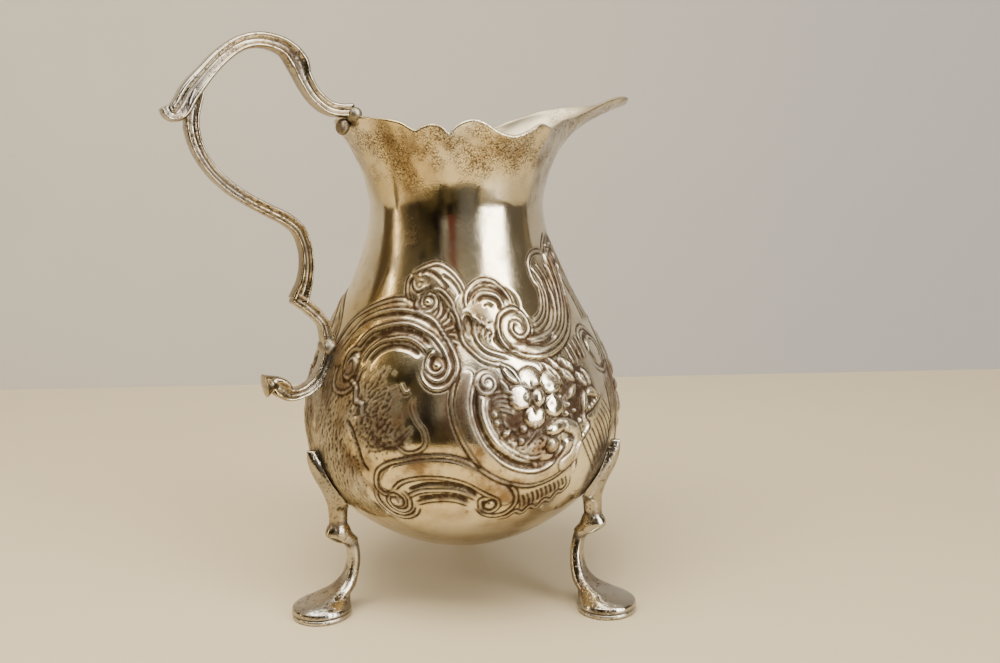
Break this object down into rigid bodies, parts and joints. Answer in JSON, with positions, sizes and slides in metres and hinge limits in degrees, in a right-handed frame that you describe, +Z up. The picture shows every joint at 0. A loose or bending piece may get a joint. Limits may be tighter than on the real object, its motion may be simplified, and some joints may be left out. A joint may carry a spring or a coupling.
{
  "type": "silver cream jug",
  "caption": "Small pear-shaped cream jug with a scalloped rim, a drawn pouring lip, a double-scroll handle and three legs with hoof feet.",
  "frame": {"origin": "on the table, under the middle of the whole jug's bounding box; the axis of the body stands 6.36 mm from it towards the lip", "axes": "+Z up, +X towards the pouring lip, handle on the -X side in the plane Y = 0"},
  "size_m": [0.0896, 0.0616, 0.101],
  "materials": {
    "body_silver": "polished silver with a warm worn tarnish",
    "cast_silver": "polished cast silver, darker in its hollows",
    "sole_silver": "worn silver, dulled on the underside",
    "solder": "uneven silver solder, left as it ran"
  },
  "bodies": {
    "root": {"jug_body": "body_silver", "handle_upper_scroll": "cast_silver", "handle_lower_scroll": "cast_silver", "handle_tail_scroll": "cast_silver", "handle_rim_solder": "solder", "handle_foot_solder": "solder", "rim_bead": "solder", "leg_back": "cast_silver", "leg_front_near": "cast_silver", "leg_front_far": "cast_silver", "sole_back": "sole_silver", "sole_front_near": "sole_silver", "sole_front_far": "sole_silver"}
  },
  "joints": []
}
